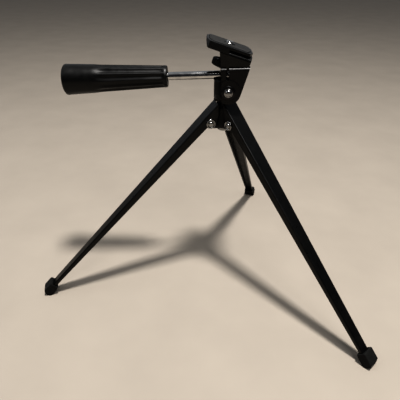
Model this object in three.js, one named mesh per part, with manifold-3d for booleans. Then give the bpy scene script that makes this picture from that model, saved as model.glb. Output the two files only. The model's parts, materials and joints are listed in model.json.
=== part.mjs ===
// A small tabletop tripod: three folding channel legs, a swivelling neck and a tilting camera head.
// Millimetres, +Z up, handle along -X, tilt axle along Y.
// Legs, hub and neck are placed about the swivel axis with the floor at z = 0. The head is drawn
// about the tilt axle and leans a little, so that the handle's end hangs low. The last lines move
// the origin to the middle of the bottom of the whole object.
import * as THREE from 'three';
import { mergeVertices } from 'three/addons/utils/BufferGeometryUtils.js';
import Module from 'manifold-3d';

const wasm = await Module();
wasm.setup();

// ---------- driving dimensions ----------

const GAP = 0.3;                 // clearance left between pieces that touch
const FAR = 60;                  // past the end of whatever is being cut
const SHEET = 1.1;               // steel thickness of the legs

const FOOT_RADIUS = 138;         // swivel axis to the middle of a foot
const LEG_COUNT = 3;
const LEG_TURN = 194.5;          // heading of the first leg, degrees from +X
const LEG_SLOPE = 46.6;          // how far a spread leg dips below level, degrees
const LEG_PIVOT_RADIUS = 10.6;
const LEG_PIVOT_HEIGHT = 131.2;
const LEG_WEB_OFFSET = 5.9;      // pivot to the outer face of the leg
const LEG_WIDTH_TOP = 12.2;
const LEG_WIDTH_FOOT = 7.0;
const LEG_DEPTH_TOP = 6.3;
const LEG_DEPTH_FOOT = 2.4;
const LEG_CORNER = 1.0;          // bend radius of the channel
const LEG_LOBE = 3.6;            // rounded ear around the pivot
const LEG_LOBE_RELIEF = 0.15;    // the ear is this much thinner on each face than the flange
const LEG_HEAD = 13.25;          // leg length above the pivot; its corner swings clear of the head
const LEG_STOP_RADIUS = 5.3;     // the leg's bevelled top end stands this far from the axis

const RIVET_SHANK = 1.5;
const RIVET_HEAD = 3.3;
const RIVET_DOME = 1.3;

const BOOT_LENGTH = 7.4;
const BOOT_WALL = 1.3;
const BOOT_NOSE = 2.8;           // rubber beyond the end of the channel
const BOOT_TOP = 2.4;            // rubber above the channel's web
const BOOT_BELOW = 2.3;          // rubber below the channel's flanges
const BOOT_TOE = 2.0;            // chamfer at the front of the top
const BOOT_HEEL = 2.4;           // slant at the back of the underside
const BOOT_EDGE = 0.7;

const HUB_BOTTOM = 127.2;
const HUB_CORE = 6.8;
const HUB_SKIRT = 7.6;
const HUB_SHOULDER = 141.2;      // the core narrows above this height, under the leg tops
const HUB_TOP = 146.4;
const HUB_NECK = 5.0;
const HUB_FLANGE = 7.2;          // thin rim at the very top, over the leg tops
const HUB_FLANGE_THICK = 0.4;
const HUB_EDGE = 1.6;            // height of the rounding under the skirt
const HUB_SKIRT_TAPER = 4;       // height over which the skirt narrows to the core
const HUB_LUG = 3.9;             // radius of the lug's rounded end

const NECK_RADIUS = 8.2;
const NECK_FOOT = 7.2;           // radius at the very bottom
const NECK_FLARE = 4;            // height over which the foot widens to the full radius
const NECK_BOTTOM = 147.4;
const NECK_TOP = 160.6;
const NECK_EDGE = 1;
const NECK_HALF_LENGTH = 7.1;    // flats front and back
const NECK_HALF_WIDTH = 7.2;     // flats on both sides for the tilting head
const NECK_SLOT = 7.4;           // middle slot that lets the handle rod swing down
const PAN_SHANK = 2.5;
const PAN_HEAD = 5.0;
const PAN_HEAD_THICK = 2.2;
const PAN_HEAD_EDGE = 1.2;
const PAN_DEPTH = 1;             // how far the pin reaches into the neck
const PAN_WASHER = 7.0;

const TILT_X = 2.3;
const TILT_Z = 154.3;
const HEAD_TILT = 2.4;           // the handle's end hangs this much below level, degrees
const AXLE_RADIUS = 2.2;
const AXLE_HEAD = 2.9;

const BLOCK_HALF_WIDTH = 12.2;
const BLOCK_WALL = 1.6;
const BLOCK_LEFT = -4.5;         // outline of the block, measured from the tilt axle
const BLOCK_RIGHT = 14.2;
const BLOCK_TOP = 15.5;
const BLOCK_ROUND = 8.3;
const BLOCK_WEB_RADIUS = 10.5;   // the back wall stays outside this circle about the axle

const PLATE_TILT = 20;           // camera plate against the handle, degrees, handle end up
const PLATE_X = 1.5;             // middle of the plate's top, measured from the tilt axle
const PLATE_Z = 28.6;
const PLATE_LENGTH = 31.0;
const PLATE_WIDTH = 26;
const PLATE_CORNER_X = 2.1;
const PLATE_CORNER_Y = 6.5;
const PLATE_RIM = 4.8;
const PLATE_THICK = 1.8;

const ROD_Z = 8.8;               // handle rod above the tilt axle
const ROD_RADIUS = 2.8;
const ROD_THREAD_RADIUS = 2.0;
const GRIP_INNER_X = -40.5;      // ends of the grip, measured from the tilt axle
const GRIP_OUTER_X = -110.6;
const GRIP_INNER_RADIUS = 7.2;
const GRIP_OUTER_RADIUS = 10.3;

const STUD_RADIUS = 3.1;         // quarter-inch camera screw
const WHEEL_RADIUS = 7.6;

const rad = THREE.MathUtils.degToRad;

// ---------- solids ----------

function toSolid(geometry) {
  const bare = geometry.clone();
  bare.deleteAttribute('normal');
  bare.deleteAttribute('uv');
  const merged = mergeVertices(bare, 1e-3);
  const mesh = new wasm.Mesh({
    numProp: 3,
    vertProperties: new Float32Array(merged.attributes.position.array),
    triVerts: new Uint32Array(merged.index.array),
  });
  return new wasm.Manifold(mesh);
}

function toGeometry(solid) {
  const mesh = solid.getMesh();
  const geometry = new THREE.BufferGeometry();
  geometry.setAttribute('position', new THREE.BufferAttribute(new Float32Array(mesh.vertProperties), 3));
  geometry.setIndex(new THREE.BufferAttribute(new Uint32Array(mesh.triVerts), 1));
  return geometry;
}

function cut(geometry, ...tools) {
  const solid = tools.reduce((body, tool) => body.subtract(toSolid(tool)), toSolid(geometry));
  return toGeometry(solid);
}

function join(geometry, ...others) {
  const solid = others.reduce((body, other) => body.add(toSolid(other)), toSolid(geometry));
  return toGeometry(solid);
}

function common(geometry, other) {
  return toGeometry(toSolid(geometry).intersect(toSolid(other)));
}

// An upright body of revolution about Z, from [radius, height] pairs that start and end on the axis.
function turned(profile, segments = 32) {
  const points = profile.map(([radius, height]) => new THREE.Vector2(radius, height));
  const geometry = new THREE.LatheGeometry(points, segments);
  geometry.rotateX(Math.PI / 2);
  return geometry;
}

function rod(radius, from, to, segments = 24) {
  return turned([[0, from], [radius, from], [radius, to], [0, to]], segments);
}

// The same, lying along Y or along X.
function crossRod(radius, from, to, segments = 24) {
  return rod(radius, from, to, segments).rotateX(-Math.PI / 2);
}

function lengthwiseRod(radius, from, to, segments = 24) {
  return rod(radius, from, to, segments).rotateY(Math.PI / 2);
}

function ring(outer, inner, from, to, segments = 32) {
  return cut(rod(outer, from, to, segments), rod(inner, from - 1, to + 1, segments));
}

function box(x0, x1, y0, y1, z0, z1) {
  const geometry = new THREE.BoxGeometry(x1 - x0, y1 - y0, z1 - z0);
  geometry.translate((x0 + x1) / 2, (y0 + y1) / 2, (z0 + z1) / 2);
  return geometry;
}

// A plate cut from an outline in X and Z and centred on Y = middle.
function sidePlate(shape, thickness, middle = 0, bevel = 0) {
  const geometry = new THREE.ExtrudeGeometry(shape, {
    depth: thickness - 2 * bevel,
    bevelEnabled: bevel > 0,
    bevelThickness: bevel,
    bevelSize: bevel,
    bevelOffset: -bevel,
    bevelSegments: 3,
    curveSegments: 12,
  });
  geometry.translate(0, 0, -(thickness - 2 * bevel) / 2);
  geometry.rotateX(Math.PI / 2);
  geometry.translate(0, middle, 0);
  return geometry;
}

// A flat plate cut from an outline in X and Y, with its top at z = top.
function flatPlate(shape, thickness, top = 0, bevel = 0) {
  const geometry = new THREE.ExtrudeGeometry(shape, {
    depth: thickness - 2 * bevel,
    bevelEnabled: bevel > 0,
    bevelThickness: bevel,
    bevelSize: bevel,
    bevelOffset: -bevel,
    bevelSegments: 2,
    curveSegments: 10,
  });
  geometry.translate(0, 0, top - thickness + bevel);
  return geometry;
}

// A bar of constant section lying along X, from an outline in Y and Z.
function foldedBar(shape, from, to) {
  const bar = new THREE.ExtrudeGeometry(shape, { depth: to - from, bevelEnabled: false, curveSegments: 6 });
  bar.rotateX(Math.PI / 2);
  bar.rotateZ(Math.PI / 2);
  bar.translate(from, 0, 0);
  return bar;
}

// Skin stretched over a row of equal closed outlines, capped flat at both ends.
function loft(rings) {
  const count = rings[0].length;
  const positions = rings.flat().flatMap((point) => [point.x, point.y, point.z]);
  const index = [];
  for (let row = 0; row + 1 < rings.length; row += 1) {
    for (let i = 0; i < count; i += 1) {
      const a = row * count + i;
      const b = row * count + (i + 1) % count;
      index.push(a, b, b + count, a, b + count, a + count);
    }
  }
  const outline = rings[0].map((point) => new THREE.Vector2(point.y, point.z));
  const last = (rings.length - 1) * count;
  for (const [a, b, c] of THREE.ShapeUtils.triangulateShape(outline, [])) {
    index.push(a, c, b, last + a, last + b, last + c);
  }
  const geometry = new THREE.BufferGeometry();
  geometry.setAttribute('position', new THREE.Float32BufferAttribute(positions, 3));
  geometry.setIndex(index);
  return geometry;
}

// ---------- looks ----------

function finish(color, roughness, metalness) {
  return new THREE.MeshStandardMaterial({ color, roughness, metalness });
}

const blackPaint = () => finish(0x141416, 0.42, 0.15);
const blackCasting = () => finish(0x0f0f11, 0.5, 0.1);
const blackPlastic = () => finish(0x161617, 0.38, 0.0);
const blackRubber = () => finish(0x121312, 0.85, 0.0);
const greyPad = () => finish(0x3a3a3b, 0.8, 0.0);
const chrome = () => finish(0xc9ccd0, 0.12, 1.0);
const nickel = () => finish(0xb4b5b2, 0.28, 1.0);
const fibre = () => finish(0x2b2622, 0.8, 0.0);

const tripod = new THREE.Group();
tripod.name = 'tabletop_tripod';

function place(parent, name, geometry, material) {
  const mesh = new THREE.Mesh(geometry, material);
  mesh.name = name;
  parent.add(mesh);
  return mesh;
}

// ---------- legs ----------
// A leg is drawn about its pivot: x runs down the leg, y across it, z out of its outer face.

const legDrop = LEG_PIVOT_HEIGHT;
const legReach = FOOT_RADIUS - LEG_PIVOT_RADIUS;
const LEG_END = legDrop / Math.sin(rad(LEG_SLOPE));

function legPart(x) {
  return (x + LEG_HEAD) / (LEG_END + LEG_HEAD);
}

function legWidth(x) {
  return THREE.MathUtils.lerp(LEG_WIDTH_TOP, LEG_WIDTH_FOOT, legPart(x));
}

function legDepth(x) {
  return THREE.MathUtils.lerp(LEG_DEPTH_TOP, LEG_DEPTH_FOOT, legPart(x));
}

// Quarter turn of points about a corner centre.
function corner(x, y, z, radius, from) {
  const steps = 3;
  const points = [];
  for (let i = 0; i <= steps; i += 1) {
    const angle = rad(from - 90 * i / steps);
    points.push(new THREE.Vector3(x, y + radius * Math.cos(angle), z + radius * Math.sin(angle)));
  }
  return points;
}

// The channel section at one place: a web on the outside and two flanges turned inwards.
function channelRing(x) {
  const half = legWidth(x) / 2;
  const top = LEG_WEB_OFFSET;
  const bottom = top - legDepth(x);
  const outer = LEG_CORNER;
  const inside = half - SHEET;
  return [
    new THREE.Vector3(x, -half, bottom),
    ...corner(x, -half + outer, top - outer, outer, 180),
    ...corner(x, half - outer, top - outer, outer, 90),
    new THREE.Vector3(x, half, bottom),
    new THREE.Vector3(x, inside, bottom),
    new THREE.Vector3(x, inside, top - SHEET),
    new THREE.Vector3(x, -inside, top - SHEET),
    new THREE.Vector3(x, -inside, bottom),
  ].reverse();
}

function legChannel() {
  const channel = loft([channelRing(-LEG_HEAD), channelRing(LEG_END)]);
  const middle = (legWidth(0) - SHEET) / 2;
  const thin = SHEET / 2 - LEG_LOBE_RELIEF;
  const ear = (side) => crossRod(LEG_LOBE, side * middle - thin, side * middle + thin);
  const whole = join(channel, ear(-1), ear(1));
  // The top end is bevelled so that it lies against the hub when the leg is spread.
  const bevel = box(-FAR, LEG_STOP_RADIUS - LEG_PIVOT_RADIUS, -FAR, FAR, -FAR, FAR);
  bevel.rotateY(-rad(LEG_SLOPE));
  const bore = crossRod(RIVET_SHANK + GAP, -FAR, FAR);
  return cut(whole, bevel, bore);
}

// The rubber boot: a blunt block with its sole cut level with the floor.
function legBoot() {
  const top = LEG_WEB_OFFSET + BOOT_TOP;
  const bottom = LEG_WEB_OFFSET - LEG_DEPTH_FOOT - BOOT_BELOW;
  const start = LEG_END - BOOT_LENGTH;
  const nose = LEG_END + BOOT_NOSE;
  const outline = new THREE.Shape();
  outline.moveTo(start, bottom + BOOT_HEEL / 4);
  outline.lineTo(start, top - BOOT_HEEL / 8);
  outline.lineTo(start + BOOT_HEEL / 2, top);
  outline.lineTo(nose - BOOT_TOE, top);
  outline.lineTo(nose, top - BOOT_TOE);
  outline.lineTo(nose, bottom);
  outline.lineTo(start + BOOT_HEEL, bottom);
  const width = LEG_WIDTH_FOOT + 2 * BOOT_WALL;
  const block = sidePlate(outline, width, 0, BOOT_EDGE);
  const below = box(-2 * FAR, 2 * FAR, -FAR, FAR, -legDrop - FAR, -legDrop);
  below.translate(legReach, 0, 0);
  below.rotateY(-rad(LEG_SLOPE));
  const socketHalf = legWidth(start) / 2 + GAP;
  const socket = box(start - 1, LEG_END + GAP, -socketHalf, socketHalf,
    LEG_WEB_OFFSET - legDepth(start) - GAP, LEG_WEB_OFFSET + GAP);
  return cut(block, below, socket);
}

function addLeg(number) {
  const heading = new THREE.Group();
  heading.rotation.z = rad(LEG_TURN + 360 / LEG_COUNT * (number - 1));
  const spread = new THREE.Group();
  spread.position.set(LEG_PIVOT_RADIUS, 0, LEG_PIVOT_HEIGHT);
  spread.rotation.y = rad(LEG_SLOPE);
  heading.add(spread);
  tripod.add(heading);
  place(spread, `leg_channel_${number}`, legChannel(), blackPaint());
  place(spread, `leg_boot_${number}`, legBoot(), blackRubber());
  const rivet = place(heading, `leg_rivet_${number}`, rivetAlongY(RIVET_SHANK, RIVET_HEAD, RIVET_DOME,
    legWidth(0) / 2 + GAP), nickel());
  rivet.position.set(LEG_PIVOT_RADIUS, 0, LEG_PIVOT_HEIGHT);
}

// A rivet with a domed head at both ends; the heads start at +grip and -grip.
function rivetAlongY(shank, head, dome, grip) {
  const arc = (end) => {
    const points = [];
    for (let i = 0; i <= 3; i += 1) {
      const angle = rad(30 * i);
      points.push([head * Math.cos(angle), end * (grip + dome * (0.25 + 0.75 * Math.sin(angle)))]);
    }
    return points;
  };
  const upper = [[shank, grip], [head, grip], ...arc(1)];
  upper[upper.length - 1][0] = 0;
  const lower = [[shank, -grip], [head, -grip], ...arc(-1)].reverse();
  lower[0][0] = 0;
  return turned([...lower, ...upper], 18).rotateX(-Math.PI / 2);
}

for (let number = 1; number <= LEG_COUNT; number += 1) {
  addLeg(number);
}

// ---------- hub ----------
// A cast crown: a core the neck turns on, with one lug inside each leg.

function hubCore() {
  return turned([
    [0, HUB_BOTTOM],
    [HUB_SKIRT - HUB_EDGE, HUB_BOTTOM],
    [HUB_SKIRT - HUB_EDGE / 3, HUB_BOTTOM + HUB_EDGE / 3],
    [HUB_SKIRT, HUB_BOTTOM + HUB_EDGE],
    [HUB_SKIRT, LEG_PIVOT_HEIGHT],
    [HUB_CORE, LEG_PIVOT_HEIGHT + HUB_SKIRT_TAPER],
    [HUB_CORE, HUB_SHOULDER],
    [HUB_NECK, HUB_SHOULDER + HUB_CORE - HUB_NECK],
    [HUB_NECK, HUB_TOP - 1.5 * HUB_FLANGE_THICK],
    [HUB_FLANGE, HUB_TOP - HUB_FLANGE_THICK],
    [HUB_FLANGE, HUB_TOP],
    [0, HUB_TOP],
  ], 36);
}

function hubLug(number) {
  const reach = HUB_LUG;
  const half = legWidth(0) / 2 - SHEET - GAP;
  const outline = new THREE.Shape();
  outline.moveTo(0, LEG_PIVOT_HEIGHT + reach);
  outline.lineTo(LEG_PIVOT_RADIUS, LEG_PIVOT_HEIGHT + reach);
  outline.absarc(LEG_PIVOT_RADIUS, LEG_PIVOT_HEIGHT, reach, Math.PI / 2, -Math.PI / 2, true);
  outline.lineTo(0, LEG_PIVOT_HEIGHT - reach);
  const lug = sidePlate(outline, 2 * half);
  const bore = crossRod(RIVET_SHANK + GAP, -FAR, FAR);
  bore.translate(LEG_PIVOT_RADIUS, 0, LEG_PIVOT_HEIGHT);
  return cut(lug, bore).rotateZ(rad(LEG_TURN + 360 / LEG_COUNT * (number - 1)));
}

function hub() {
  const body = join(hubCore(), hubLug(1), hubLug(2), hubLug(3));
  return cut(body, rod(PAN_SHANK + GAP, 0, 2 * HUB_TOP));
}

place(tripod, 'hub', hub(), blackCasting());
place(tripod, 'pan_washer', ring(PAN_WASHER, PAN_SHANK + GAP, HUB_TOP + GAP, NECK_BOTTOM - GAP), fibre());

// The swivel pin: a wide head under the hub and a shank that runs up into the neck.
const panSeat = HUB_BOTTOM - GAP;
const panPin = turned([
  [0, panSeat - PAN_HEAD_THICK],
  [PAN_HEAD - PAN_HEAD_EDGE, panSeat - PAN_HEAD_THICK],
  [PAN_HEAD, panSeat - PAN_HEAD_THICK + PAN_HEAD_EDGE],
  [PAN_HEAD, panSeat],
  [PAN_SHANK, panSeat],
  [PAN_SHANK, NECK_BOTTOM + PAN_DEPTH],
  [0, NECK_BOTTOM + PAN_DEPTH],
], 24);
place(tripod, 'pan_pin', panPin, nickel());

// ---------- neck ----------
// A round post with two flats, a middle slot for the handle rod, and a cross bore for the axle.

function neck() {
  const post = turned([
    [0, NECK_BOTTOM],
    [NECK_FOOT - 0.3, NECK_BOTTOM],
    [NECK_FOOT, NECK_BOTTOM + NECK_FLARE / 5],
    [NECK_RADIUS - 0.3, NECK_BOTTOM + NECK_FLARE * 2 / 3],
    [NECK_RADIUS, NECK_BOTTOM + NECK_FLARE],
    [NECK_RADIUS, NECK_TOP - NECK_EDGE],
    [NECK_RADIUS - NECK_EDGE, NECK_TOP],
    [0, NECK_TOP],
  ], 40);
  const flats = box(-NECK_HALF_LENGTH, NECK_HALF_LENGTH, -NECK_HALF_WIDTH, NECK_HALF_WIDTH, 0, 2 * NECK_TOP);
  const slot = box(-FAR, FAR, -NECK_SLOT / 2, NECK_SLOT / 2, TILT_Z - AXLE_RADIUS - GAP, 2 * NECK_TOP);
  const axle = crossRod(AXLE_RADIUS + GAP, -FAR, FAR);
  axle.translate(TILT_X, 0, TILT_Z);
  return cut(common(post, flats), slot, axle, rod(PAN_SHANK + GAP, 0, NECK_BOTTOM + PAN_DEPTH + GAP));
}

place(tripod, 'neck', neck(), blackCasting());

// ---------- tilt axle and its washers ----------

const CHEEK_INSIDE = 8.4;        // half the gap between the cheeks at the axle
const BOSS_RADIUS = 7.8;
const BOSS_HEIGHT = 0.8;
const CAP_RADIUS = 4.5;
const CAP_THICK = 1.0;
const CAP_RIM = 0.4;
const SPACER_RADIUS = 3.6;
const AXLE_DOME = 1.9;

const axle = new THREE.Group();
axle.position.set(TILT_X, 0, TILT_Z);
tripod.add(axle);

const capStart = BLOCK_HALF_WIDTH + BOSS_HEIGHT + GAP;
const axleGrip = capStart + CAP_THICK + GAP;
place(axle, 'tilt_axle', rivetAlongY(AXLE_RADIUS, AXLE_HEAD, AXLE_DOME, axleGrip), nickel());

// A dished washer: high in the middle, thin at the rim, lying against the cheek's boss.
function capWasher(side) {
  const dish = turned([
    [0, capStart],
    [CAP_RADIUS, capStart],
    [CAP_RADIUS, capStart + CAP_RIM],
    [CAP_RADIUS - 1.1, capStart + CAP_THICK],
    [0, capStart + CAP_THICK],
  ], 32);
  return cut(dish, rod(AXLE_RADIUS + GAP, -FAR, FAR)).rotateX(side * Math.PI / 2);
}

function spacer(side) {
  const washer = ring(SPACER_RADIUS, AXLE_RADIUS + GAP, NECK_HALF_WIDTH + GAP, CHEEK_INSIDE - GAP);
  return washer.rotateX(side * Math.PI / 2);
}

for (const [label, side] of [['near', 1], ['far', -1]]) {
  place(axle, `cap_washer_${label}`, capWasher(side), blackPaint());
  place(axle, `tilt_spacer_${label}`, spacer(side), fibre());
}

// ---------- tilting block ----------
// Two cheeks astride the neck, joined by a back wall that the handle rod screws into.

const BLOCK_EDGE = 1.8;          // radius along the long top edges
const ROOM_BACK = 8.5;           // the room for the thumbwheel ends here
const ROOM_FLOOR = 8.2;
const SEAT_BACK = 9.6;           // a shallow seat for the bracket's lower end
const SEAT_FLOOR = 12.6;
const SLIT_LEFT = -1.3;
const SLIT_RIGHT = 0.5;
const SLIT_BOTTOM = 7.6;

function blockOutline() {
  const reach = Math.hypot(BLOCK_RIGHT, BLOCK_TOP);
  const start = Math.atan2(BLOCK_TOP, BLOCK_RIGHT) - Math.acos(BLOCK_ROUND / reach);
  const end = -Math.acos(BLOCK_LEFT / BLOCK_ROUND);
  const shape = new THREE.Shape();
  shape.moveTo(BLOCK_LEFT, BLOCK_TOP);
  shape.lineTo(BLOCK_RIGHT, BLOCK_TOP);
  shape.absarc(0, 0, BLOCK_ROUND, start, end, true);
  return shape;
}

// The block seen along X, with the long top edges rounded over.
function blockCrossSection() {
  const over = BLOCK_EDGE;
  const half = BLOCK_HALF_WIDTH;
  const shape = new THREE.Shape();
  shape.moveTo(-half, -2 * BLOCK_ROUND);
  shape.lineTo(-half, BLOCK_TOP - over);
  shape.absarc(-half + over, BLOCK_TOP - over, over, Math.PI, Math.PI / 2, true);
  shape.absarc(half - over, BLOCK_TOP - over, over, Math.PI / 2, 0, true);
  shape.lineTo(half, -2 * BLOCK_ROUND);
  return shape;
}

// A low round boss on the outside of each cheek, kept within the cheek's own outline.
function blockBosses() {
  const reach = BLOCK_HALF_WIDTH + BOSS_HEIGHT;
  const bosses = crossRod(BOSS_RADIUS, -reach, reach, 40);
  return common(bosses, sidePlate(blockOutline(), 2 * FAR));
}

function tiltBlock() {
  const square = sidePlate(blockOutline(), 2 * BLOCK_HALF_WIDTH);
  const rounded = common(square, foldedBar(blockCrossSection(), -FAR, FAR));
  const solid = join(rounded, blockBosses());
  const upperInside = BLOCK_HALF_WIDTH - BLOCK_WALL;
  const swing = crossRod(BLOCK_WEB_RADIUS, -CHEEK_INSIDE, CHEEK_INSIDE, 48);
  const open = box(-FAR, 0, -CHEEK_INSIDE, CHEEK_INSIDE, -FAR, FAR);
  const wheelRoom = box(-FAR, ROOM_BACK, -upperInside, upperInside, ROOM_FLOOR, FAR);
  const seat = box(-FAR, SEAT_BACK, -upperInside, upperInside, SEAT_FLOOR, FAR);
  const bore = crossRod(AXLE_RADIUS + GAP, -FAR, FAR);
  const thread = lengthwiseRod(ROD_THREAD_RADIUS + GAP, -FAR, FAR);
  thread.translate(0, 0, ROD_Z);
  // A narrow slit runs down both cheeks from their top edge.
  const slit = box(SLIT_LEFT, SLIT_RIGHT, -FAR, FAR, SLIT_BOTTOM, FAR);
  return cut(solid, swing, open, wheelRoom, seat, bore, thread, slit);
}

const head = new THREE.Group();
head.position.set(TILT_X, 0, TILT_Z);
head.rotation.y = -rad(HEAD_TILT);
tripod.add(head);
place(head, 'tilt_block', tiltBlock(), blackPaint());

// ---------- platform ----------
// Drawn about the middle of the camera plate's top face, x along the plate, z out of it.

const platform = new THREE.Group();
platform.position.set(PLATE_X, 0, PLATE_Z);
platform.rotation.y = rad(PLATE_TILT);
head.add(platform);

function plateOutline(inset) {
  const x = PLATE_LENGTH / 2 - inset;
  const y = PLATE_WIDTH / 2 - inset;
  const cx = PLATE_CORNER_X;
  const cy = PLATE_CORNER_Y;
  const shape = new THREE.Shape();
  shape.moveTo(-x, -y + cy);
  shape.lineTo(-x + cx, -y);
  shape.lineTo(x - cx, -y);
  shape.lineTo(x, -y + cy);
  shape.lineTo(x, y - cy);
  shape.lineTo(x - cx, y);
  shape.lineTo(-x + cx, y);
  shape.lineTo(-x, y - cy);
  return shape;
}

const PLATE_END_WALL = 4.0;      // the rim is this thick at the handle end
const PLATE_WALL = 1.6;
const PLATE_EDGE = 0.4;
const PLATE_END_SLOPE = 25;      // the end over the handle slopes back underneath, degrees
const PLATE_END_START = 0.75;    // the slope meets the top's level this far outside the end
const PAD_INSET = 1.4;
const PAD_THICK = 1.0;
const RIM_END = 0.3;             // the deep rim stops here, just past the middle

// The plate has a deep rim at the handle end only; the bracket's shoulders fill the rest.
function cameraPlate() {
  const slab = flatPlate(plateOutline(0), PLATE_RIM, 0, PLATE_EDGE);
  const hollow = common(flatPlate(plateOutline(PLATE_WALL), PLATE_RIM, -PLATE_THICK),
    box(PLATE_END_WALL - PLATE_LENGTH / 2, FAR, -FAR, FAR, -FAR, FAR));
  const shoulder = box(RIM_END, FAR, -FAR, FAR, -FAR, -PLATE_THICK);
  const recess = flatPlate(plateOutline(PAD_INSET), FAR, FAR - PAD_THICK);
  const bore = rod(STUD_RADIUS + GAP, -FAR, FAR);
  const slope = box(-FAR, 0, -FAR, FAR, -FAR, FAR).rotateY(-rad(PLATE_END_SLOPE));
  slope.translate(-PLATE_END_START - PLATE_LENGTH / 2, 0, 0);
  return cut(slab, hollow, shoulder, recess, bore, slope);
}

function platePad() {
  const pad = flatPlate(plateOutline(PAD_INSET + GAP), PAD_THICK, GAP);
  return cut(pad, rod(STUD_RADIUS + 2 * GAP, -FAR, FAR));
}

place(platform, 'camera_plate', cameraPlate(), blackPlastic());
place(platform, 'plate_pad', platePad(), greyPad());

const BRACKET_LEFT = -4.9;       // upright front edge, measured from the tilt axle
const BRACKET_WALL = 1.4;
const BRACKET_HALF_TOP = 11.9;
const BRACKET_HALF_FOOT = 10.3;
const BRACKET_BEND = 3.4;
const BRACKET_BACK = 15.6;       // ends of the folded bar, measured along the plate
const BRACKET_FRONT = -9;
const BRACKET_FOOT_RIGHT = 2;    // the lower end inside the block spans from the front edge to here
const BRACKET_FOOT = 12.9;

// The bracket: sheet folded over the top, its sides leaning in as they go down into the block.
function bracketSection(shrink) {
  const wide = BRACKET_HALF_TOP - shrink;
  const narrow = BRACKET_HALF_FOOT - shrink;
  const top = -PLATE_THICK - GAP - shrink;
  const bend = BRACKET_BEND - shrink;
  const lean = -12;              // the sides lean in down to here, then run straight
  const end = -24;
  const shape = new THREE.Shape();
  shape.moveTo(-narrow, end);
  shape.lineTo(-narrow, lean);
  shape.lineTo(-wide, top - bend);
  shape.absarc(-wide + bend, top - bend, bend, Math.PI, Math.PI / 2, true);
  shape.absarc(wide - bend, top - bend, bend, Math.PI / 2, 0, true);
  shape.lineTo(narrow, lean);
  shape.lineTo(narrow, end);
  return shape;
}

function platformBracket() {
  const outside = foldedBar(bracketSection(0), BRACKET_FRONT, BRACKET_BACK);
  const inside = foldedBar(bracketSection(BRACKET_WALL), -FAR, FAR);
  // Shallow notches clear the deep part of the plate's rim.
  const clear = PLATE_WIDTH / 2 - PLATE_WALL - GAP;
  const notchNear = box(-FAR, RIM_END + GAP, -FAR, -clear, -PLATE_RIM - GAP, 0);
  const notchFar = box(-FAR, RIM_END + GAP, clear, FAR, -PLATE_RIM - GAP, 0);
  const shell = cut(outside, inside, rod(STUD_RADIUS + GAP, -FAR, FAR), notchNear, notchFar);
  // Upright front edge above the handle rod, and a level lower end inside the block.
  shell.rotateY(rad(PLATE_TILT));
  shell.translate(PLATE_X, 0, PLATE_Z);
  const foot = box(BRACKET_LEFT, BRACKET_FOOT_RIGHT, -FAR, FAR, BRACKET_FOOT, FAR);
  const upper = box(BRACKET_LEFT, FAR, -FAR, FAR, BLOCK_TOP + GAP, FAR);
  return common(shell, join(foot, upper));
}

place(head, 'platform_bracket', platformBracket(), blackPaint());

// ---------- camera screw ----------

const WHEEL_TOP = -11.0;
const WHEEL_THICK = 4.4;
const WHEEL_BORE = 2.4;
const WHEEL_TEETH = 24;
const WHEEL_TOOTH = 0.55;
const WHEEL_EDGE = 0.6;
const STUD_TOP = 1.6;
const STUD_EDGE = 0.6;
const CLIP_RADIUS = 5.2;
const CLIP_DROP = 1.8;           // from the bracket's top to the clip

function stud() {
  return turned([
    [0, WHEEL_TOP - WHEEL_THICK + WHEEL_EDGE],
    [WHEEL_BORE, WHEEL_TOP - WHEEL_THICK + WHEEL_EDGE],
    [WHEEL_BORE, WHEEL_TOP],
    [STUD_RADIUS, WHEEL_TOP + GAP],
    [STUD_RADIUS, STUD_TOP - STUD_EDGE],
    [STUD_RADIUS - STUD_EDGE, STUD_TOP],
    [0, STUD_TOP],
  ], 24);
}

function wheelRing(z, base) {
  const ring = [];
  for (let i = 0; i < WHEEL_TEETH * 2; i += 1) {
    const angle = Math.PI * i / WHEEL_TEETH;
    const radius = base - (i % 2 ? WHEEL_TOOTH : 0);
    ring.push(new THREE.Vector3(z, radius * Math.cos(angle), radius * Math.sin(angle)));
  }
  return ring;
}

function thumbwheel() {
  const low = WHEEL_TOP - WHEEL_THICK;
  const wheel = loft([
    wheelRing(low, WHEEL_RADIUS - WHEEL_EDGE),
    wheelRing(low + WHEEL_EDGE, WHEEL_RADIUS),
    wheelRing(WHEEL_TOP - WHEEL_EDGE, WHEEL_RADIUS),
    wheelRing(WHEEL_TOP, WHEEL_RADIUS - WHEEL_EDGE),
  ]);
  wheel.rotateY(-Math.PI / 2);
  return cut(wheel, rod(WHEEL_BORE + GAP, -FAR, FAR));
}

place(platform, 'camera_screw', stud(), nickel());
place(platform, 'thumbwheel', thumbwheel(), blackPlastic());
const clipTop = -PLATE_THICK - 2 * GAP - CLIP_DROP;
place(platform, 'screw_clip', ring(CLIP_RADIUS, STUD_RADIUS + GAP, clipTop - 1, clipTop), nickel());

// ---------- handle ----------

const handle = new THREE.Group();
handle.position.set(0, 0, ROD_Z);
head.add(handle);

const ROD_SHOULDER = -2.4;       // the full thickness ends here
const ROD_END = 12.5;
const ROD_EDGE = 0.6;
const GRIP_SOCKET = 12;          // solid end of the grip beyond the rod
const GRIP_PLAIN = 20;           // smooth stretch at the wide end
const GRIP_FLUTES = 12;
const GRIP_FLUTE = 0.6;
const GRIP_FLUTE_RUNOUT = 3;
const GRIP_OUTER_EDGE = 1.8;
const GRIP_INNER_EDGE = 1.2;

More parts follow.
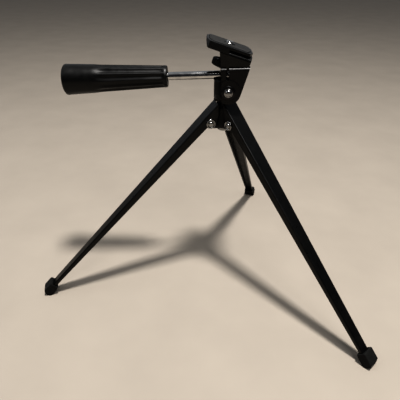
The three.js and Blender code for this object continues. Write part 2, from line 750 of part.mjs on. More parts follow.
function handleRod() {
  const profile = [
    [0, GRIP_OUTER_X + GRIP_SOCKET],
    [ROD_RADIUS, GRIP_OUTER_X + GRIP_SOCKET],
    [ROD_RADIUS, ROD_SHOULDER],
    [ROD_THREAD_RADIUS, ROD_SHOULDER + 1],
    [ROD_THREAD_RADIUS, ROD_END - ROD_EDGE],
    [ROD_THREAD_RADIUS - ROD_EDGE, ROD_END],
    [0, ROD_END],
  ];
  return turned(profile, 24).rotateY(Math.PI / 2);
}

// A round outline of the grip at one place, scalloped by shallow lengthwise flutes.
function gripRing(x, radius, flute) {
  const steps = GRIP_FLUTES * 4;
  const ring = [];
  for (let i = 0; i < steps; i += 1) {
    const angle = 2 * Math.PI * i / steps;
    const dip = flute * (0.5 - 0.5 * Math.cos(GRIP_FLUTES * angle));
    ring.push(new THREE.Vector3(x, (radius - dip) * Math.cos(angle), (radius - dip) * Math.sin(angle)));
  }
  return ring;
}

function handleGrip() {
  const length = GRIP_INNER_X - GRIP_OUTER_X;
  const taper = (GRIP_INNER_RADIUS - GRIP_OUTER_RADIUS) / length;
  const radiusAt = (x) => GRIP_OUTER_RADIUS + taper * (x - GRIP_OUTER_X);
  const rimStart = GRIP_OUTER_X + GRIP_OUTER_EDGE;
  const fluteStart = GRIP_OUTER_X + GRIP_PLAIN;
  const fluteFull = fluteStart + GRIP_FLUTE_RUNOUT;
  const fluteEnd = GRIP_INNER_X - GRIP_INNER_EDGE;
  const body = loft([
    gripRing(GRIP_OUTER_X, GRIP_OUTER_RADIUS - GRIP_OUTER_EDGE, 0),
    gripRing(GRIP_OUTER_X + GRIP_OUTER_EDGE / 3, GRIP_OUTER_RADIUS - GRIP_OUTER_EDGE / 3, 0),
    gripRing(rimStart, radiusAt(rimStart), 0),
    gripRing(fluteStart, radiusAt(fluteStart), 0),
    gripRing(fluteFull, radiusAt(fluteFull), GRIP_FLUTE),
    gripRing(fluteEnd, radiusAt(fluteEnd), GRIP_FLUTE),
    gripRing(GRIP_INNER_X, GRIP_INNER_RADIUS - GRIP_INNER_EDGE, GRIP_FLUTE / 2),
  ]);
  const bore = lengthwiseRod(ROD_RADIUS + GAP, GRIP_OUTER_X + GRIP_SOCKET - GAP, 0);
  return cut(body, bore);
}

place(handle, 'handle_rod', handleRod(), chrome());
place(handle, 'handle_grip', handleGrip(), blackPlastic());

// ---------- origin ----------
// The middle of the bottom of the bounding box becomes the origin.

tripod.updateMatrixWorld(true);
const bounds = new THREE.Box3().setFromObject(tripod, true);
const middle = bounds.getCenter(new THREE.Vector3());
tripod.position.set(-middle.x, -middle.y, -bounds.min.z);
tripod.updateMatrixWorld(true);

export default tripod;
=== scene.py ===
import json
import math

import bmesh
import bpy
from mathutils import Matrix, Vector


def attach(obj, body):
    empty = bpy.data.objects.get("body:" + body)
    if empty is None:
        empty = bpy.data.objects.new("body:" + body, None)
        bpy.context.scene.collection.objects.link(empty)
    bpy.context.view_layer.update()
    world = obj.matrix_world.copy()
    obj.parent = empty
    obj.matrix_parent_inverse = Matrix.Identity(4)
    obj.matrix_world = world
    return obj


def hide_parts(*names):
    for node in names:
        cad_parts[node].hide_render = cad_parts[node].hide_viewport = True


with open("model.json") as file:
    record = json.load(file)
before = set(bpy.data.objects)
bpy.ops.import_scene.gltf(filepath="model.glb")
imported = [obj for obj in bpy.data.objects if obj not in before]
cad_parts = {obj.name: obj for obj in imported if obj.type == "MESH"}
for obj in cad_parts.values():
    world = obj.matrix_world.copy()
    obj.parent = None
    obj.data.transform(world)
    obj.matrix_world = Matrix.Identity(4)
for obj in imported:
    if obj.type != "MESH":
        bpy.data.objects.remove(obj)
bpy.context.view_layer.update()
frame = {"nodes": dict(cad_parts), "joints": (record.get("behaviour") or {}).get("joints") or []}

MM = 0.001
TURN = 2 * math.pi
TIP = 0.02                   # radius of the tiny flat that ends a turned piece on its axis
LEGS = (1, 2, 3)


# ---------- shape helpers ----------

def joint(name):
    return next(j for j in frame["joints"] if j["name"] == name)


def on_axis(joint_name):
    """A matrix that puts Z along a joint's axis and zero at its point."""
    j = joint(joint_name)
    turn = Vector((0, 0, 1)).rotation_difference(Vector(j["axis"]))
    return Matrix.Translation(j["pos_m"]) @ turn.to_matrix().to_4x4()


def reach(node, joint_name):
    """How far a CAD node extends along a joint's axis, in millimetres from its point."""
    j = joint(joint_name)
    start, axis = Vector(j["pos_m"]), Vector(j["axis"])
    return max((v.co - start).dot(axis) for v in frame["nodes"][node].data.vertices) / MM


LONGEST_CUT = 0.45           # a rounded corner takes at most this share of each of its sides


def rounded(profile, radius, parts=5):
    """The same outline with every corner turned into a small smooth curve."""
    points = [Vector(p) for p in profile]
    curve = [points[0]]
    for before, here, after in zip(points, points[1:], points[2:]):
        back, ahead = before - here, after - here
        cut = min(radius, back.length * LONGEST_CUT, ahead.length * LONGEST_CUT)
        start = here + back.normalized() * cut
        end = here + ahead.normalized() * cut
        for i in range(parts + 1):
            t = i / parts
            curve.append(start.lerp(here, t).lerp(here.lerp(end, t), t))
    curve.append(points[-1])
    return curve


def turned(name, profile, placing, sides=96, ripple=None, hollow=False, sharp=40):
    """A turned solid about Z from (radius, height) pairs.

    ripple(angle, radius, height) gives the radius where the outline isn't round. hollow
    closes the profile on itself, for a ring; otherwise both ends are capped. Edges that
    turn by more than sharp degrees are shaded sharp.
    """
    bm = bmesh.new()
    rows = []
    for radius, height in profile:
        row = []
        for i in range(sides):
            angle = TURN * i / sides
            r = ripple(angle, radius, height) if ripple else radius
            row.append(bm.verts.new((r * math.cos(angle) * MM, r * math.sin(angle) * MM, height * MM)))
        rows.append(row)
    pairs = list(zip(rows, rows[1:]))
    if hollow:
        pairs.append((rows[-1], rows[0]))
    for low, high in pairs:
        for i in range(sides):
            k = (i + 1) % sides
            bm.faces.new((low[i], low[k], high[k], high[i]))
    if not hollow:
        bm.faces.new(list(reversed(rows[0])))
        bm.faces.new(rows[-1])
    bmesh.ops.recalc_face_normals(bm, faces=bm.faces)
    mesh = bpy.data.meshes.new(name)
    bm.to_mesh(mesh)
    bm.free()
    mesh.transform(placing)
    mesh.shade_smooth()
    mesh.set_sharp_from_angle(angle=math.radians(sharp))
    piece = bpy.data.objects.new(name, mesh)
    bpy.context.scene.collection.objects.link(piece)
    return piece


def finish_piece(piece, material, body, slot, *nodes):
    piece.data.materials.append(material)
    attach(piece, body)
    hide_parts(*nodes)


WELD_GAP = 0.002             # corners closer than this are one corner
FLAT_ANGLE = 1.0             # faces this near to level with each other are one face, degrees
BEVEL_ANGLE = 35             # edges that turn by more than this are rounded, degrees
BEVEL_SEGMENTS = 3
FACE_AREA_WEIGHT = 100       # large faces keep their own direction in the shading


def round_edges(node, width, material):
    """Rounds the edges of a CAD node with modifiers and gives it its finish."""
    piece = frame["nodes"][node]
    piece.data.materials.clear()
    piece.data.materials.append(material)
    piece.data.shade_smooth()
    weld = piece.modifiers.new("weld", "WELD")
    weld.merge_threshold = WELD_GAP * MM
    flat = piece.modifiers.new("flat", "DECIMATE")
    flat.decimate_type = "DISSOLVE"
    flat.angle_limit = math.radians(FLAT_ANGLE)
    bevel = piece.modifiers.new("bevel", "BEVEL")
    bevel.width = width * MM
    bevel.segments = BEVEL_SEGMENTS
    bevel.limit_method = "ANGLE"
    bevel.angle_limit = math.radians(BEVEL_ANGLE)
    bevel.miter_outer = "MITER_ARC"
    normals = piece.modifiers.new("normals", "WEIGHTED_NORMAL")
    normals.weight = FACE_AREA_WEIGHT


THREAD_FLANK = 2.2           # steepness of a thread's flanks; over 2 leaves its root flat


def thread(pitch, depth, first, last):
    """A ripple that cuts a thread into the stretch between two heights."""
    def ripple(angle, radius, height):
        if not first < height < last:
            return radius
        turn = (height / pitch - angle / TURN) % 1
        return radius - depth * min(1, THREAD_FLANK * abs(turn - 0.5))
    return ripple


def wave(count, angle):
    """From 0 up to 1 and back, count times in a full turn."""
    return 0.5 - 0.5 * math.cos(count * angle)


def steps(first, last, count):
    """Evenly spaced numbers from first to last."""
    return [first + (last - first) * i / count for i in range(count + 1)]


# ---------- material helpers ----------

NOISE_ROUGHNESS = 0.55
LEANING = 0.45               # no dust where the upward part of the face's normal is under this
LEVEL = 0.95                 # and the most where it is over this


class Paint:
    """A procedural finish: a principled shader with noise in its colour, gloss and surface."""

    def __init__(self, name, metallic=0.0, specular=0.5):
        self.material = bpy.data.materials.new(name)
        self.material.use_nodes = True
        self.tree = self.material.node_tree
        self.shader = self.tree.nodes["Principled BSDF"]
        self.shader.inputs["Metallic"].default_value = metallic
        self.shader.inputs["Specular IOR Level"].default_value = specular
        coordinates = self.node("ShaderNodeTexCoord")
        self.place = coordinates.outputs["Object"]
        self.facing = coordinates.outputs["Normal"]

    def node(self, kind, **values):
        made = self.tree.nodes.new(kind)
        for key, value in values.items():
            setattr(made, key, value)
        return made

    def link(self, start, end):
        self.tree.links.new(start, end)

    def noise(self, size, detail=4.0, stretch=(1, 1, 1)):
        """Noise with features about size across, drawn out along stretched axes."""
        mapping = self.node("ShaderNodeMapping")
        mapping.inputs["Scale"].default_value = [1 / (s * size * MM) for s in stretch]
        texture = self.node("ShaderNodeTexNoise")
        texture.inputs["Scale"].default_value = 1.0
        texture.inputs["Detail"].default_value = detail
        texture.inputs["Roughness"].default_value = NOISE_ROUGHNESS
        self.link(self.place, mapping.inputs["Vector"])
        self.link(mapping.outputs["Vector"], texture.inputs["Vector"])
        return texture.outputs["Fac"]

    def span(self, value, low, high, start=0.3, end=0.7):
        """Maps a value between start and end onto the numbers from low to high."""
        mapped = self.node("ShaderNodeMapRange")
        limits = {"From Min": start, "From Max": end, "To Min": low, "To Max": high}
        for key, number in limits.items():
            mapped.inputs[key].default_value = number
        self.link(value, mapped.inputs["Value"])
        return mapped.outputs["Result"]

    def mix(self, amount, first, second):
        """Colour between two colours, or between a colour and a socket's colour."""
        mixed = self.node("ShaderNodeMix", data_type="RGBA")
        self.link(amount, mixed.inputs["Factor"])
        for socket, colour in ((mixed.inputs["A"], first), (mixed.inputs["B"], second)):
            if isinstance(colour, tuple):
                socket.default_value = (*colour, 1)
            else:
                self.link(colour, socket)
        return mixed.outputs["Result"]

    def times(self, first, second):
        product = self.node("ShaderNodeMath", operation="MULTIPLY")
        self.link(first, product.inputs[0])
        self.link(second, product.inputs[1])
        return product.outputs[0]

    def upward(self):
        """1 on faces that look up in the piece's own frame, 0 on upright and hanging ones."""
        parts = self.node("ShaderNodeSeparateXYZ")
        self.link(self.facing, parts.inputs["Vector"])
        return self.span(parts.outputs["Z"], 0.0, 1.0, LEANING, LEVEL)

    def colour(self, socket):
        self.link(socket, self.shader.inputs["Base Color"])

    def gloss(self, socket):
        self.link(socket, self.shader.inputs["Roughness"])

    def relief(self, *layers):
        """Bump from (height socket, strength, depth) layers."""
        normal = None
        for height, strength, depth in layers:
            bump = self.node("ShaderNodeBump")
            bump.inputs["Strength"].default_value = strength
            bump.inputs["Distance"].default_value = depth * MM
            self.link(height, bump.inputs["Height"])
            if normal:
                self.link(normal, bump.inputs["Normal"])
            normal = bump.outputs["Normal"]
        self.link(normal, self.shader.inputs["Normal"])


BLACK_SPECULAR = 0.3
PATCH_SIZE = 9               # patches of deeper and paler black
DUST_SIZE = 2.2
DUST_RANGE = (0.25, 1.0, 0.35, 0.65)     # least, most, and the noise values for each
SMUDGE_SIZE = 5              # patches of more and less gloss
GRAIN_STRENGTH = 0.5
WAVE_SIZE = 18               # slow unevenness of the surface
WAVE_STRENGTH = 0.25
WAVE_DEPTH = 0.08


def dusty_black(name, dark, light, dust, roughness, grain, grain_depth):
    """A black finish: uneven depth of colour, a little dust on top, and a fine grain."""
    paint = Paint(name, specular=BLACK_SPECULAR)
    base = paint.mix(paint.span(paint.noise(PATCH_SIZE), 0.0, 1.0), (dark,) * 3, (light,) * 3)
    settled = paint.times(paint.upward(), paint.span(paint.noise(DUST_SIZE, detail=6), *DUST_RANGE))
    paint.colour(paint.mix(settled, base, dust))
    paint.gloss(paint.span(paint.noise(SMUDGE_SIZE, detail=5), *roughness))
    fine = (paint.noise(grain, detail=5), GRAIN_STRENGTH, grain_depth)
    slow = (paint.noise(WAVE_SIZE, detail=2), WAVE_STRENGTH, WAVE_DEPTH)
    paint.relief(fine, slow)
    return paint.material


def enamel():
    return dusty_black("black_enamel", dark=0.0016, light=0.0032, dust=(0.006, 0.006, 0.0055),
                       roughness=(0.26, 0.40), grain=0.5, grain_depth=0.012)


def casting():
    return dusty_black("black_casting", dark=0.0018, light=0.004, dust=(0.006, 0.006, 0.006),
                       roughness=(0.38, 0.55), grain=0.7, grain_depth=0.035)


def plastic():
    return dusty_black("black_plastic", dark=0.002, light=0.0045, dust=(0.009, 0.009, 0.0085),
                       roughness=(0.30, 0.44), grain=0.35, grain_depth=0.02)


def rubber():
    return dusty_black("black_rubber", dark=0.003, light=0.006, dust=(0.012, 0.013, 0.0115),
                       roughness=(0.7, 0.88), grain=0.25, grain_depth=0.03)


def grip_pad():
    return dusty_black("grey_pad", dark=0.009, light=0.018, dust=(0.026, 0.026, 0.025),
                       roughness=(0.72, 0.9), grain=0.45, grain_depth=0.09)


FIBRE_DARK = (0.02, 0.014, 0.01)
FIBRE_LIGHT = (0.05, 0.035, 0.025)
FIBRE_SIZE = 0.35
FIBRE_FLATNESS = (1, 1, 0.2)
FIBRE_SMUDGE_SIZE = 1.2
FIBRE_ROUGHNESS = (0.7, 0.9)
FIBRE_STRENGTH = 0.4
FIBRE_DEPTH = 0.04


def fibre():
    """Pressed brown fibre, in thin layers that lie level."""
    paint = Paint("brown_fibre")
    layers = paint.noise(FIBRE_SIZE, detail=6, stretch=FIBRE_FLATNESS)
    paint.colour(paint.mix(paint.span(layers, 0.0, 1.0), FIBRE_DARK, FIBRE_LIGHT))
    paint.gloss(paint.span(paint.noise(FIBRE_SMUDGE_SIZE), *FIBRE_ROUGHNESS))
    paint.relief((layers, FIBRE_STRENGTH, FIBRE_DEPTH))
    return paint.material


CLOUD_SIZE = 7               # faint patches of darker and brighter plating
SPECK_SIZE = 0.6
SPECK_RANGE = (0.0, 0.35, 0.66, 0.74)    # least, most, and the noise values for each
SPECK_TINT = (0.5, 0.46, 0.4)            # against the plating's darkest colour
PLATING_TINT = (1, 0.995, 0.97)
SMEAR_SIZE = 3.5             # patches of more and less gloss
HAIRLINE_SIZE = 0.16
HAIRLINE_STRENGTH = 0.12
HAIRLINE_DEPTH = 0.006


def bright_metal(name, dark, light, roughness, hairline):
    """Plated steel: faint cloudiness, fine marks drawn out as hairline says, and dull specks."""
    paint = Paint(name, metallic=1.0)
    cloud = paint.span(paint.noise(CLOUD_SIZE, detail=5), 0.0, 1.0)
    specks = paint.span(paint.noise(SPECK_SIZE, detail=3), *SPECK_RANGE)
    shade = paint.mix(cloud, (dark,) * 3, tuple(light * tint for tint in PLATING_TINT))
    paint.colour(paint.mix(specks, shade, tuple(dark * tint for tint in SPECK_TINT)))
    paint.gloss(paint.span(paint.noise(SMEAR_SIZE, detail=6), *roughness))
    marks = paint.noise(HAIRLINE_SIZE, detail=3, stretch=hairline)
    paint.relief((marks, HAIRLINE_STRENGTH, HAIRLINE_DEPTH))
    return paint.material


black_enamel = enamel()
black_casting = casting()
black_plastic = plastic()
black_rubber = rubber()
grey_pad = grip_pad()
brown_fibre = fibre()
chrome = bright_metal("chrome", dark=0.42, light=0.58, roughness=(0.06, 0.14), hairline=(1, 14, 14))
nickel = bright_metal("nickel", dark=0.22, light=0.36, roughness=(0.14, 0.26), hairline=(3, 3, 3))


# ---------- camera ----------

CAMERA_POINT = Vector((7.53, -312.7, 232.85)) * MM
CAMERA_PITCH = 29.41         # degrees below level
CAMERA_HEADING = 1.13        # degrees from +Y, to the left
CAMERA_ROLL = 0.37           # degrees
CAMERA_LENS = 39.11
CAMERA_SENSOR = 36
CAMERA_NEAR = 0.01           # nearest distance that is drawn, metres


def add_camera():
    camera = bpy.data.objects.new("camera", bpy.data.cameras.new("camera"))
    bpy.context.scene.collection.objects.link(camera)
    aim = Matrix.Rotation(math.radians(CAMERA_HEADING), 4, "Z")
    lean = Matrix.Rotation(math.radians(90 - CAMERA_PITCH), 4, "X")
    roll = Matrix.Rotation(math.radians(CAMERA_ROLL), 4, "Z")
    camera.matrix_world = Matrix.Translation(CAMERA_POINT) @ aim @ lean @ roll
    camera.data.lens = CAMERA_LENS
    camera.data.sensor_width = CAMERA_SENSOR
    camera.data.clip_start = CAMERA_NEAR
    bpy.context.scene.camera = camera


add_camera()


# ---------- sheet metal, castings and mouldings from the CAD ----------

for number in LEGS:
    round_edges(f"leg_channel_{number}", 0.16, black_enamel)
    round_edges(f"leg_boot_{number}", 0.45, black_rubber)
round_edges("hub", 0.4, black_casting)
round_edges("neck", 0.45, black_casting)
round_edges("tilt_block", 0.28, black_enamel)
round_edges("platform_bracket", 0.25, black_enamel)
round_edges("camera_plate", 0.15, black_plastic)
round_edges("plate_pad", 0.18, grey_pad)
round_edges("pan_pin", 0.2, nickel)
round_edges("pan_washer", 0.08, brown_fibre)
round_edges("screw_clip", 0.12, nickel)
for side in ("near", "far"):
    round_edges(f"cap_washer_{side}", 0.15, black_enamel)
    round_edges(f"tilt_spacer_{side}", 0.08, brown_fibre)


# ---------- handle ----------
# Heights run along the handle from above the tilt axle; the grip is on the minus side.

ROD_RADIUS = 2.8
ROD_END = 12.5
ROD_SHOULDER = -2.4
ROD_CONE = 1                 # length of the cone between the shoulder and the thread
ROD_CORNER = 0.3
ROD_POINT = 0.5              # bevel at the threaded end
ROD_THREAD_RADIUS = 2.0
ROD_THREAD_PITCH = 0.7
ROD_THREAD_DEPTH = 0.3
ROD_THREAD_START = 0.6       # plain stretch between the cone and the thread
ROD_RINGS = 150
ROD_RING_GAP = 0.1           # between the rings of the thread and the corners beyond them

GRIP_INNER = -40.5
GRIP_OUTER = -110.6
GRIP_INNER_RADIUS = 7.2
GRIP_OUTER_RADIUS = 10.3
GRIP_SOLID = 12              # solid stretch between the wide end and the rod's end
GRIP_CLEARANCE = 0.3         # gap round the rod
GRIP_MOUTH = 1.0             # funnel at the socket's mouth
GRIP_MOUTH_DEPTH = 0.8
GRIP_RIM = 0.2               # bevel of the narrow end
GRIP_RIM_LENGTH = 1.2
GRIP_CORNER = 0.7
GRIP_RINGS = 110
GRIP_RIM_GAP = 0.2           # between the narrow end's rim and the first ring of the side
GRIP_CAP_GAP = 0.1           # between the last ring and the rounded wide end
GRIP_FLUTES = 12
GRIP_FLUTE_DEPTH = 0.75
GRIP_FLUTE_POWER = 0.7       # under 1, so the flutes are wider than the ridges
GRIP_FLUTE_SIDES = 14        # sides of the outline for each flute
GRIP_SKIN = 0.8              # points nearer the axis than this share of the radius aren't fluted
GRIP_PLAIN = 20              # smooth stretch at the wide end
GRIP_PLAIN_FADE = 9          # the flutes reach full depth over this length
GRIP_COLLAR = 1.6            # smooth stretch at the narrow end
GRIP_COLLAR_FADE = 2
CAP_LENGTH = 3.9             # the rounded wide end
CAP_EDGE = 1.2               # its corner is this far along the handle from the end face
CAP_FACE = 1.4               # the end face starts this far inside the corner
CAP_CROWN = 0.05             # and is set back this much there
CAP_CORNER = 1.3
CAP_CORNER_PARTS = 7
DIMPLE_RADIUS = 5.2          # shallow recess in the end face
DIMPLE_SLOPE = 0.6
DIMPLE_DEPTH = 0.7
DIMPLE_DISH = 0.1            # its floor is this much deeper in the middle


def handle_rod():
    inner = GRIP_OUTER + GRIP_SOLID
    cone = ROD_SHOULDER + ROD_CONE
    point = ROD_END - ROD_POINT
    shoulder = [
        (TIP, inner),
        (ROD_RADIUS, inner),
        (ROD_RADIUS, ROD_SHOULDER),
        (ROD_THREAD_RADIUS, cone),
    ]
    heights = steps(cone + ROD_RING_GAP, point - ROD_RING_GAP, ROD_RINGS)
    profile = rounded(shoulder, ROD_CORNER)
    profile += [(ROD_THREAD_RADIUS, height) for height in heights]
    profile += [(ROD_THREAD_RADIUS - ROD_POINT, ROD_END), (TIP, ROD_END)]
    cut = thread(ROD_THREAD_PITCH, ROD_THREAD_DEPTH, cone + ROD_THREAD_START, point)
    rod = turned("handle_rod_polished", profile, on_axis("handle_twist"), ripple=cut)
    finish_piece(rod, chrome, "handle_body", "chrome", "handle_rod")


def grip_radius(height):
    share = (height - GRIP_OUTER) / (GRIP_INNER - GRIP_OUTER)
    return GRIP_OUTER_RADIUS + (GRIP_INNER_RADIUS - GRIP_OUTER_RADIUS) * share


def ease(x):
    """From 0 to 1 as x does, starting and ending smoothly."""
    x = min(1, max(0, x))
    return x * x * (3 - 2 * x)


def flutes(angle, radius, height):
    """The grip's ripple: flutes that fade out before each end."""
    if radius < GRIP_SKIN * grip_radius(height):
        return radius
    start = ease((height - GRIP_OUTER - GRIP_PLAIN) / GRIP_PLAIN_FADE)
    end = ease((GRIP_INNER - GRIP_COLLAR - height) / GRIP_COLLAR_FADE)
    return radius - GRIP_FLUTE_DEPTH * start * end * wave(GRIP_FLUTES, angle) ** GRIP_FLUTE_POWER


def grip_socket():
    """The grip's outline from the bottom of its socket, round the mouth, to the narrow end's rim."""
    wall = ROD_RADIUS + GRIP_CLEARANCE
    bottom = GRIP_OUTER + GRIP_SOLID - GRIP_CLEARANCE
    rim = grip_radius(GRIP_INNER)
    outline = [
        (TIP, bottom),
        (wall, bottom),
        (wall, GRIP_INNER - GRIP_MOUTH_DEPTH),
        (wall + GRIP_MOUTH, GRIP_INNER),
        (rim - GRIP_RIM, GRIP_INNER),
        (rim, GRIP_INNER - GRIP_RIM_LENGTH),
    ]
    return rounded(outline, GRIP_CORNER)


def grip_cap():
    """The outline of the wide end, from its side to the middle of its dimple."""
    outline = [
        (grip_radius(GRIP_OUTER + CAP_LENGTH), GRIP_OUTER + CAP_LENGTH),
        (grip_radius(GRIP_OUTER), GRIP_OUTER + CAP_EDGE),
        (GRIP_OUTER_RADIUS - CAP_FACE, GRIP_OUTER + CAP_CROWN),
        (DIMPLE_RADIUS, GRIP_OUTER),
        (DIMPLE_RADIUS - DIMPLE_SLOPE, GRIP_OUTER + DIMPLE_DEPTH),
        (TIP, GRIP_OUTER + DIMPLE_DEPTH + DIMPLE_DISH),
    ]
    return rounded(outline, CAP_CORNER, CAP_CORNER_PARTS)


def handle_grip():
    first = GRIP_INNER - GRIP_RIM_LENGTH - GRIP_RIM_GAP
    last = GRIP_OUTER + CAP_LENGTH + GRIP_CAP_GAP
    heights = steps(first, last, GRIP_RINGS)
    side = [(grip_radius(height), height) for height in heights]
    profile = grip_socket() + side + grip_cap()
    sides = GRIP_FLUTES * GRIP_FLUTE_SIDES
    grip = turned("handle_grip_fluted", profile, on_axis("handle_twist"), sides=sides, ripple=flutes)
    finish_piece(grip, black_plastic, "handle_body", "black_plastic", "handle_grip")


handle_rod()
handle_grip()


# ---------- camera screw and its thumbwheel ----------
# Heights run along the screw from the middle of the camera plate's top.

SCREW_RADIUS = 3.1
SCREW_TOP = 1.6
SCREW_PITCH = 1.27
SCREW_THREAD_DEPTH = 0.5
SCREW_THREAD_START = 1.2     # height of the thread's start above the wheel
SCREW_FOOT = 0.6             # its foot is this far inside the wheel's lower face
SCREW_SEAT = 0.1             # its thin end stands this far out of the wheel
SCREW_SHOULDER = 0.5         # height of its full width above the wheel
SCREW_CORNER = 0.25
SCREW_POINT = 0.55           # bevel at the tip
SCREW_POINT_CORNER = 0.2
SCREW_RINGS = 110
SCREW_FIRST_RING = 0.7       # above the wheel
SCREW_LAST_RING = 0.6        # below the tip

WHEEL_RADIUS = 7.6
WHEEL_TOP = -11.0
WHEEL_THICK = 4.4
WHEEL_BORE = 2.4
WHEEL_CLEARANCE = 0.3        # gap round the screw
WHEEL_HUB = 3.9
WHEEL_GROOVE = (4.4, 6.1)    # floor of the ring-shaped groove in each face, from and to
WHEEL_RIM = 6.5
WHEEL_BEVEL = 0.5            # outer bevels, and the depth of the grooves
WHEEL_SEAM = 1               # the outline starts and ends this far below the top, in the bore
WHEEL_CORNER = 0.3
WHEEL_TEETH = 24
WHEEL_TOOTH_DEPTH = 0.6
WHEEL_TOOTH_POWER = 1.5      # over 1, so the teeth are wider than the gaps
WHEEL_TOOTH_SIDES = 10       # sides of the outline for each tooth
WHEEL_SKIN = 0.85            # points nearer the axis than this share of the radius aren't toothed


def camera_screw():
    low = WHEEL_TOP - WHEEL_THICK + SCREW_FOOT
    foot = [
        (TIP, low),
        (WHEEL_BORE, low),
        (WHEEL_BORE, WHEEL_TOP + SCREW_SEAT),
        (SCREW_RADIUS, WHEEL_TOP + SCREW_SHOULDER),
    ]
    tip = [
        (SCREW_RADIUS, SCREW_TOP - SCREW_POINT),
        (SCREW_RADIUS - SCREW_POINT, SCREW_TOP),
        (TIP, SCREW_TOP),
    ]
    heights = steps(WHEEL_TOP + SCREW_FIRST_RING, SCREW_TOP - SCREW_LAST_RING, SCREW_RINGS)
    profile = rounded(foot, SCREW_CORNER)
    profile += [(SCREW_RADIUS, height) for height in heights]
    profile += rounded(tip, SCREW_POINT_CORNER)
    cut = thread(SCREW_PITCH, SCREW_THREAD_DEPTH, WHEEL_TOP + SCREW_THREAD_START, SCREW_TOP)
    screw = turned("camera_screw_threaded", profile, on_axis("camera_screw_turn"), ripple=cut)
    finish_piece(screw, nickel, "screw_body", "plated_steel", "camera_screw")


def teeth(angle, radius, height):
    """The thumbwheel's ripple: rounded teeth all along its edge."""
    if radius < WHEEL_SKIN * WHEEL_RADIUS:
        return radius
    return radius - WHEEL_TOOTH_DEPTH * wave(WHEEL_TEETH, angle) ** WHEEL_TOOTH_POWER


def thumbwheel():
    low = WHEEL_TOP - WHEEL_THICK
    bore = WHEEL_BORE + WHEEL_CLEARANCE
    groove_inner, groove_outer = WHEEL_GROOVE
    face = [                     # (radius, depth inside the face) pairs, from the bore out
        (bore, 0),
        (WHEEL_HUB, 0),
        (groove_inner, WHEEL_BEVEL),
        (groove_outer, WHEEL_BEVEL),
        (WHEEL_RIM, 0),
        (WHEEL_RADIUS - WHEEL_BEVEL, 0),
        (WHEEL_RADIUS, WHEEL_BEVEL),
    ]
    seam = (bore, WHEEL_TOP - WHEEL_SEAM)
    lower = [(radius, low + depth) for radius, depth in face]
    upper = [(radius, WHEEL_TOP - depth) for radius, depth in reversed(face)]
    profile = rounded([seam, *lower, *upper, seam], WHEEL_CORNER)[:-1]
    axis = on_axis("camera_screw_turn")
    sides = WHEEL_TEETH * WHEEL_TOOTH_SIDES
    wheel = turned("thumbwheel_ribbed", profile, axis, sides=sides, ripple=teeth, hollow=True)
    finish_piece(wheel, black_plastic, "screw_body", "black_plastic", "thumbwheel")


camera_screw()
thumbwheel()


# ---------- rivets ----------
# A head's outline is (radius, height above its seat) pairs, from its rim to its middle.

RIVET_SIDES = 64
RIVET_CORNER_PARTS = 4

TILT_SHANK = 2.2
TILT_CORNER = 0.3
TILT_SHARP = 60
TILT_HEAD = [
    (2.9, 0.0),
    (2.9, 0.3),
    (2.5, 0.5),
    (2.3, 0.55),
    (2.2, 1.0),
    (1.8, 1.55),
    (1.0, 1.86),
    (TIP, 1.9),
]

LEG_SHANK = 1.5
LEG_CORNER = 0.25
LEG_SHARP = 70
LEG_HEAD = [                     # a thin round flange with a small dome in the middle
    (3.3, 0.0),
    (3.3, 0.35),
    (2.95, 0.7),
    (2.55, 0.62),
    (2.2, 0.2),
    (1.85, 0.2),
    (1.7, 0.85),
    (1.2, 1.2),
    (0.6, 1.29),
    (TIP, 1.3),
]


def rivet_outline(shank, length, head, corner):
    """A shank with the same head at both ends, length from the middle to either tip."""
    seat = length - head[-1][1]
    upper = [(shank, seat)] + [(r, seat + h) for r, h in head]
    lower = [(r, -h) for r, h in reversed(upper)]
    return rounded(lower + upper, corner, RIVET_CORNER_PARTS)


def tilt_rivet():
    length = reach("tilt_axle", "head_tilt")
    profile = rivet_outline(TILT_SHANK, length, TILT_HEAD, TILT_CORNER)
    axis = on_axis("head_tilt")
    rivet = turned("tilt_axle_domed", profile, axis, sides=RIVET_SIDES, sharp=TILT_SHARP)
    finish_piece(rivet, nickel, "neck_body", "plated_steel", "tilt_axle")


def leg_rivet(number):
    fold = f"leg_{number}_fold"
    length = reach(f"leg_rivet_{number}", fold)
    profile = rivet_outline(LEG_SHANK, length, LEG_HEAD, LEG_CORNER)
    rivet = turned(f"leg_rivet_{number}_domed", profile, on_axis(fold), sides=RIVET_SIDES, sharp=LEG_SHARP)
    finish_piece(rivet, nickel, "hub_body", "plated_steel", f"leg_rivet_{number}")


tilt_rivet()
for number in LEGS:
    leg_rivet(number)


# ---------- floor and light ----------

FLOOR_COLOUR = (0.40, 0.358, 0.307)
FLOOR_SHADE = 0.93           # its darker patches, against its colour
FLOOR_RADIUS = 6.0
FLOOR_SIDES = 96
FLOOR_SPECULAR = 0.15
FLOOR_ROUGHNESS = (0.85, 0.95)
FLOOR_PATCH_SIZE = 60
FLOOR_SMUDGE_SIZE = 30
FLOOR_GRAIN_SIZE = 0.9
FLOOR_GRAIN_STRENGTH = 0.25
FLOOR_GRAIN_DEPTH = 0.1
SKY_UP = (0, 0.6, 0.8)       # the direction in which the sky is brightest
SKY_LOW = 0.15               # darkest where the cosine of the angle from there is under this
SKY_HIGH = 0.8               # and brightest where it is over this
SKY_DARK = (0.03, 0.03, 0.033, 1)
SKY_BRIGHT = (0.28, 0.288, 0.30, 1)
SKY_SEEN = (0.36, 0.35, 0.335, 1)


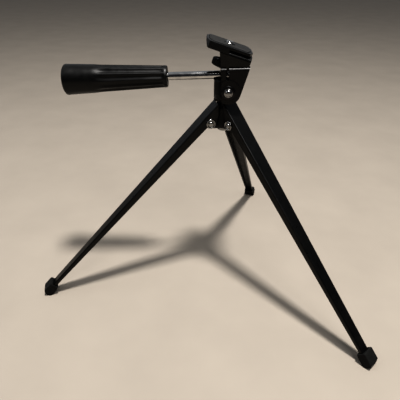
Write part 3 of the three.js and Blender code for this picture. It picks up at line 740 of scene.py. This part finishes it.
def floor():
    mesh = bpy.data.meshes.new("floor")
    bm = bmesh.new()
    bmesh.ops.create_circle(bm, cap_ends=True, segments=FLOOR_SIDES, radius=FLOOR_RADIUS)
    bm.to_mesh(mesh)
    bm.free()
    ground = bpy.data.objects.new("floor", mesh)
    bpy.context.scene.collection.objects.link(ground)
    paint = Paint("pale_floor", specular=FLOOR_SPECULAR)
    shade = tuple(c * FLOOR_SHADE for c in FLOOR_COLOUR)
    patches = paint.span(paint.noise(FLOOR_PATCH_SIZE, detail=3), 0.0, 1.0)
    paint.colour(paint.mix(patches, shade, FLOOR_COLOUR))
    paint.gloss(paint.span(paint.noise(FLOOR_SMUDGE_SIZE), *FLOOR_ROUGHNESS))
    paint.relief((paint.noise(FLOOR_GRAIN_SIZE), FLOOR_GRAIN_STRENGTH, FLOOR_GRAIN_DEPTH))
    mesh.materials.append(paint.material)


def softbox(name, place, size, power, colour):
    """A square lamp aimed at the top of the tripod's hub."""
    lamp = bpy.data.objects.new(name, bpy.data.lights.new(name, "AREA"))
    lamp.data.size = size
    lamp.data.energy = power
    lamp.data.color = colour
    lamp.location = place
    target = Vector(joint("pan_swivel")["pos_m"])
    lamp.rotation_mode = "QUATERNION"
    lamp.rotation_quaternion = (target - lamp.location).to_track_quat("-Z", "Y")
    bpy.context.scene.collection.objects.link(lamp)


def sky():
    """Bright overhead and behind, dim towards the viewer, so polished metal shows a dark band.

    Seen directly, beyond the floor's edge, it is a plain pale grey.
    """
    world = bpy.data.worlds.new("sky")
    world.use_nodes = True
    tree = world.node_tree
    place = tree.nodes.new("ShaderNodeTexCoord")
    lean = tree.nodes.new("ShaderNodeVectorMath")
    lean.operation = "DOT_PRODUCT"
    lean.inputs[1].default_value = SKY_UP
    ramp = tree.nodes.new("ShaderNodeValToRGB")
    low, high = ramp.color_ramp.elements
    low.position = SKY_LOW
    low.color = SKY_DARK
    high.position = SKY_HIGH
    high.color = SKY_BRIGHT
    lighting = tree.nodes["Background"]
    seen = tree.nodes.new("ShaderNodeBackground")
    seen.inputs["Color"].default_value = SKY_SEEN
    choice = tree.nodes.new("ShaderNodeMixShader")
    rays = tree.nodes.new("ShaderNodeLightPath")
    tree.links.new(place.outputs["Generated"], lean.inputs[0])
    tree.links.new(lean.outputs["Value"], ramp.inputs["Fac"])
    tree.links.new(ramp.outputs["Color"], lighting.inputs["Color"])
    tree.links.new(rays.outputs["Is Camera Ray"], choice.inputs[0])
    tree.links.new(lighting.outputs["Background"], choice.inputs[1])
    tree.links.new(seen.outputs["Background"], choice.inputs[2])
    tree.links.new(choice.outputs["Shader"], tree.nodes["World Output"].inputs["Surface"])
    bpy.context.scene.world = world


floor()
sky()
softbox("key_light", Vector((0.12, -0.24, 1.2)), size=0.13, power=14.0, colour=(1.0, 0.97, 0.94))
softbox("front_light", Vector((0.25, -0.75, 1.0)), size=0.35, power=2.6, colour=(1.0, 0.98, 0.96))
softbox("left_light", Vector((-1.0, -0.2, 0.8)), size=0.6, power=1.8, colour=(0.95, 0.97, 1.0))

bpy.context.scene.view_settings.view_transform = "Standard"
bpy.context.scene.view_settings.look = "High Contrast"
